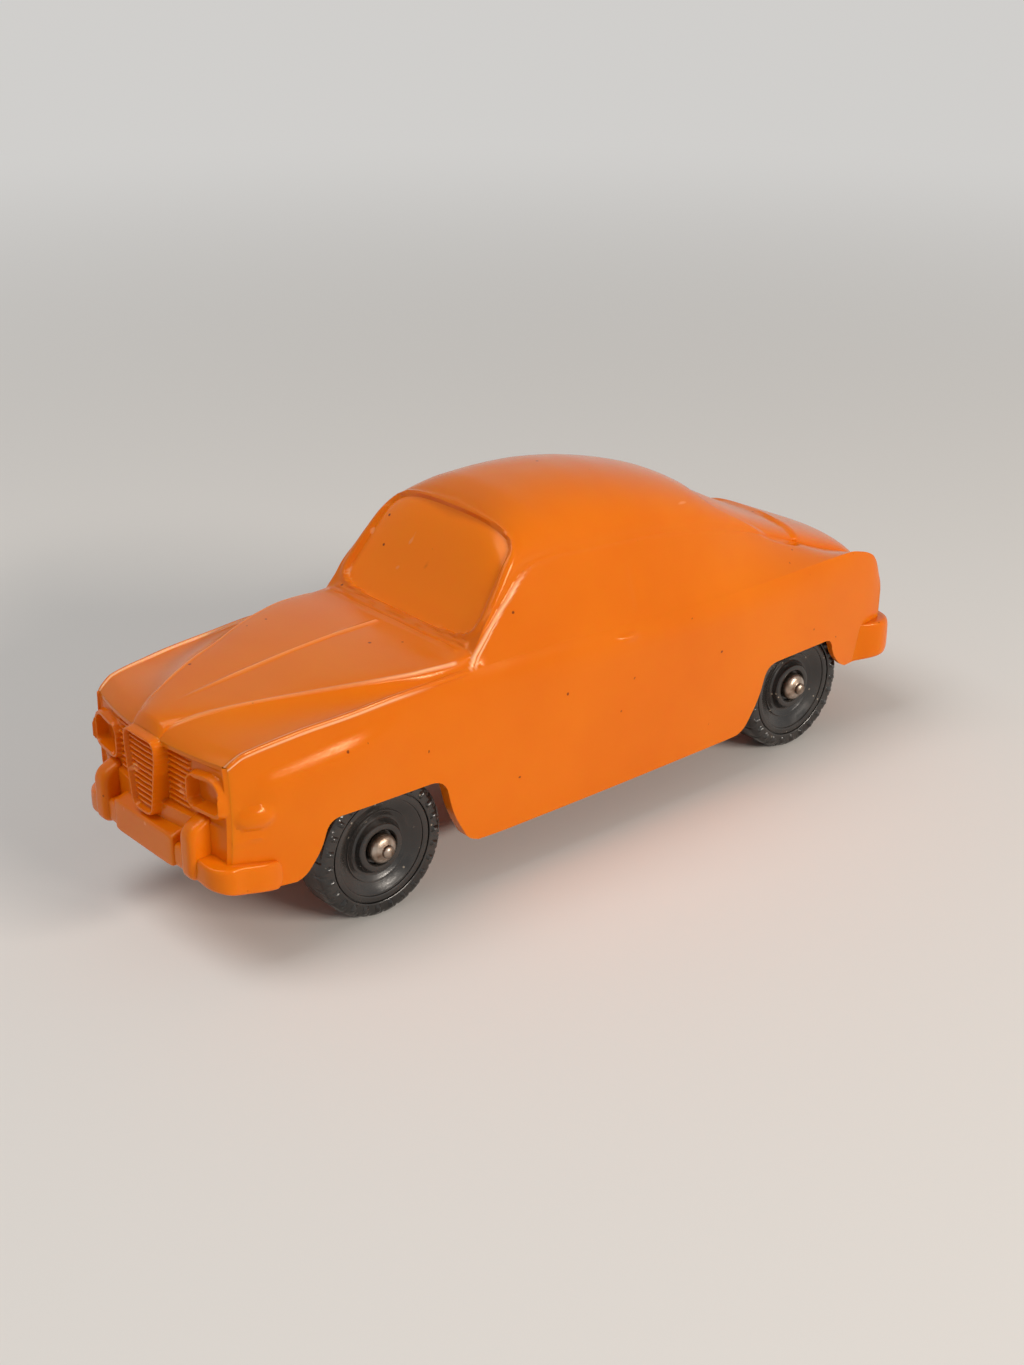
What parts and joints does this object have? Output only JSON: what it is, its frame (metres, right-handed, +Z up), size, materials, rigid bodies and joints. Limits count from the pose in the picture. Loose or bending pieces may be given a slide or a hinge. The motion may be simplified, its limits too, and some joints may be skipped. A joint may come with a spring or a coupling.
{
  "type": "toy car",
  "caption": "Small soft plastic saloon car with a one-piece hollow body, fastback roof, bumpers and grille, on moulded wheels turning on headed steel axle pins.",
  "frame": {"origin": "middle of the car on the floor under it: half way across, half way along and at the tyres' lowest point", "axes": "+Z up, nose toward -Y, +X toward the car's left side, which the picture shows"},
  "size_m": [0.0268, 0.094, 0.0369],
  "materials": {
    "body": "soft semi-gloss orange moulding",
    "axle": "aged bright wire",
    "wheel": "black satin moulding with a glossy disc"
  },
  "bodies": {
    "body": {"body_shell": "body"},
    "front_axle": {"front_axle": "axle"},
    "rear_axle": {"rear_axle": "axle"},
    "front_left_wheel": {"front_left_wheel": "wheel"},
    "front_right_wheel": {"front_right_wheel": "wheel"},
    "rear_left_wheel": {"rear_left_wheel": "wheel"},
    "rear_right_wheel": {"rear_right_wheel": "wheel"}
  },
  "joints": [
    {"name": "front_axle_turn", "type": "hinge", "parent": "body", "child": "front_axle", "pos_m": [0, -0.02756, 0.00726], "axis": [1, 0, 0], "continuous": true},
    {"name": "rear_axle_turn", "type": "hinge", "parent": "body", "child": "rear_axle", "pos_m": [0, 0.03044, 0.00726], "axis": [1, 0, 0], "continuous": true},
    {"name": "front_left_wheel_turn", "type": "hinge", "parent": "front_axle", "child": "front_left_wheel", "pos_m": [0.0092, -0.02756, 0.00726], "axis": [1, 0, 0], "continuous": true},
    {"name": "front_right_wheel_turn", "type": "hinge", "parent": "front_axle", "child": "front_right_wheel", "pos_m": [-0.0092, -0.02756, 0.00726], "axis": [1, 0, 0], "continuous": true},
    {"name": "rear_left_wheel_turn", "type": "hinge", "parent": "rear_axle", "child": "rear_left_wheel", "pos_m": [0.0092, 0.03044, 0.00726], "axis": [1, 0, 0], "continuous": true},
    {"name": "rear_right_wheel_turn", "type": "hinge", "parent": "rear_axle", "child": "rear_right_wheel", "pos_m": [-0.0092, 0.03044, 0.00726], "axis": [1, 0, 0], "continuous": true}
  ]
}
